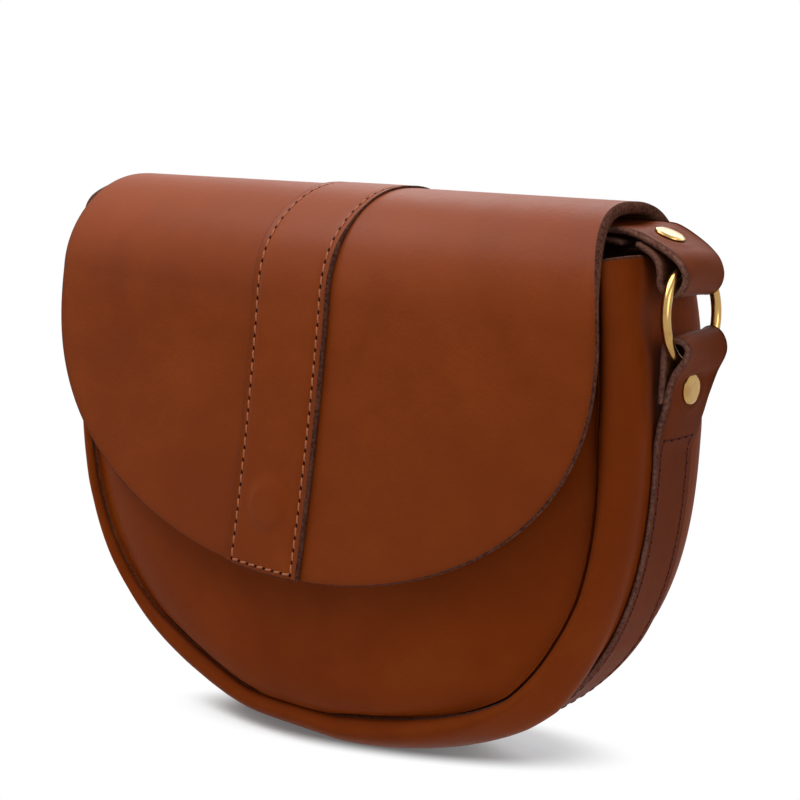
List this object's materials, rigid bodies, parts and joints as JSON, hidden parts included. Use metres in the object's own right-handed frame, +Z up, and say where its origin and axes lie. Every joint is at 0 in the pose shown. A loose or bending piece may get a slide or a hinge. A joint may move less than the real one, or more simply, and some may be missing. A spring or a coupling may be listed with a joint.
{
  "type": "saddle handbag",
  "caption": "Half-round leather saddle bag with a fold-over flap, a sewn band down its middle, a magnetic snap and riveted strap ends on brass side rings.",
  "frame": {"origin": "under the bag, at the middle of the strap it stands on", "axes": "+X towards the ring seen on the right of the picture, -Y out of the front, +Z up"},
  "size_m": [0.2891, 0.0904, 0.2098],
  "materials": {
    "leather": "satin chestnut cowhide, very fine grain",
    "strap_leather": "satin chestnut strap leather with dark raw edges",
    "brass": "polished, pale gold",
    "steel": "plain plated washers",
    "magnet": "dull magnet ring, hidden in the socket"
  },
  "bodies": {
    "bag": {"front_panel": "leather", "back_panel": "leather", "gusset": "leather", "gusset_strap": "strap_leather", "flap_lap": "leather", "loop_rivet_caps": "brass", "loop_rivet_posts": "brass", "shoulder_strap": "strap_leather", "snap_socket": "brass", "snap_magnet": "magnet", "snap_socket_washer": "steel"},
    "flap": {"flap": "leather", "flap_band": "leather", "snap_stud": "brass", "snap_stud_washer": "steel"},
    "ring_right": {"ring_right": "brass"},
    "ring_left": {"ring_left": "brass"},
    "strap_end_right": {"strap_end_right": "strap_leather", "strap_rivet_cap_right": "brass", "strap_rivet_post_right": "brass"},
    "strap_end_left": {"strap_end_left": "strap_leather", "strap_rivet_cap_left": "brass", "strap_rivet_post_left": "brass"}
  },
  "joints": [
    {"name": "flap_hinge", "type": "hinge", "parent": "bag", "child": "flap", "pos_m": [0, 0.0338, 0.1621], "axis": [-1, 0, 0], "range_deg": [0, 135]},
    {"name": "ring_right_swing", "type": "hinge", "parent": "bag", "child": "ring_right", "pos_m": [0.136, 0, 0.1579], "axis": [0, 1, 0], "range_deg": [0, 16]},
    {"name": "ring_left_swing", "type": "hinge", "parent": "bag", "child": "ring_left", "pos_m": [-0.136, 0, 0.1579], "axis": [0, -1, 0], "range_deg": [-16, 0]},
    {"name": "strap_right_swing", "type": "hinge", "parent": "ring_right", "child": "strap_end_right", "pos_m": [0.13313, 0, 0.19068], "axis": [0, 1, 0], "range_deg": [-16, 0]},
    {"name": "strap_left_swing", "type": "hinge", "parent": "ring_left", "child": "strap_end_left", "pos_m": [-0.14228, 0, 0.1902], "axis": [0, -1, 0], "range_deg": [0, 16]}
  ],
  "couplings": [
    {"joint": "strap_right_swing", "follows": "ring_right_swing", "ratio": -1},
    {"joint": "strap_left_swing", "follows": "ring_left_swing", "ratio": -1}
  ]
}
